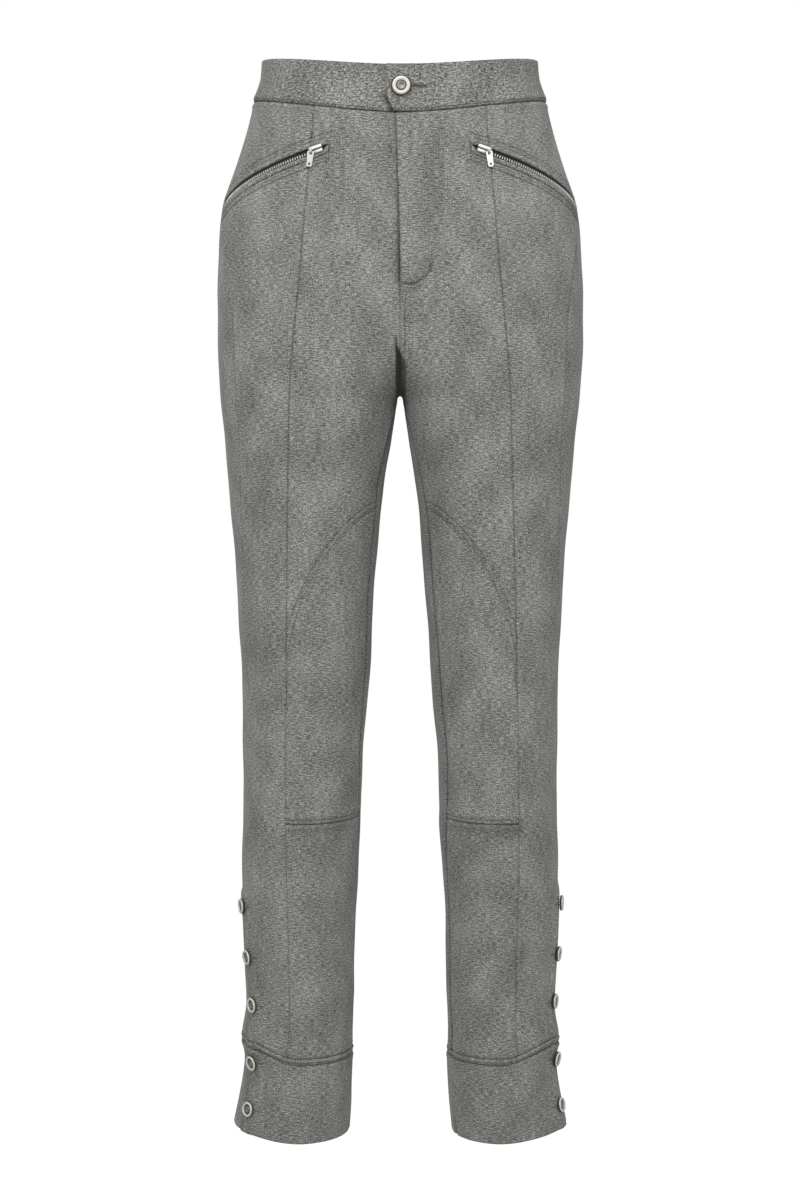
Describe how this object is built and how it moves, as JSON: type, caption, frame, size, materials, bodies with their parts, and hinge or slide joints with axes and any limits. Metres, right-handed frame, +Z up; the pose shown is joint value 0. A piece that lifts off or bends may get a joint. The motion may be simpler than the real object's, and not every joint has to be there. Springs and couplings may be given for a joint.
{
  "type": "knit trousers",
  "caption": "Full length knit trousers with a fly front, curved zipped hip pockets, shaped knee patches and buttoned cuffs, in the hollow form they have when worn.",
  "frame": {"origin": "middle of the waist, at half the height of the waistband at the side seams", "axes": "+Z up, the front faces -Y, +X is the wearer's left"},
  "size_m": [0.3436, 0.2254, 1.0251],
  "materials": {
    "knit": "grey marl double knit, matt",
    "steel": "bright zip metal",
    "button": "pale metal with a soft shine"
  },
  "bodies": {
    "trousers": {"front_left": "knit", "hip_yoke_left": "knit", "side_panel_left": "knit", "knee_patch_left": "knit", "shin_left": "knit", "back_left": "knit", "cuff_left": "knit", "pocket_welt_left": "knit", "zip_tape_left": "knit", "zip_slider_left": "steel", "leg_button_left_1": "button", "leg_button_left_2": "button", "leg_button_left_3": "button", "leg_button_left_4": "button", "leg_button_left_5": "button", "front_right": "knit", "hip_yoke_right": "knit", "side_panel_right": "knit", "knee_patch_right": "knit", "shin_right": "knit", "back_right": "knit", "cuff_right": "knit", "pocket_welt_right": "knit", "zip_tape_right": "knit", "zip_slider_right": "steel", "leg_button_right_1": "button", "leg_button_right_2": "button", "leg_button_right_3": "button", "leg_button_right_4": "button", "leg_button_right_5": "button", "waistband": "knit", "waist_button": "button"},
    "pull_left": {"zip_pull_left": "steel"},
    "pull_right": {"zip_pull_right": "steel"}
  },
  "joints": [
    {"name": "zip_pull_left_hinge", "type": "hinge", "parent": "trousers", "child": "pull_left", "pos_m": [0.08061, -0.09176, -0.07391], "axis": [-0.9336, -0.3229, -0.1551], "range_deg": [0, 150]},
    {"name": "zip_pull_right_hinge", "type": "hinge", "parent": "trousers", "child": "pull_right", "pos_m": [-0.08061, -0.09176, -0.07391], "axis": [-0.9336, 0.3229, 0.1551], "range_deg": [0, 150]}
  ]
}
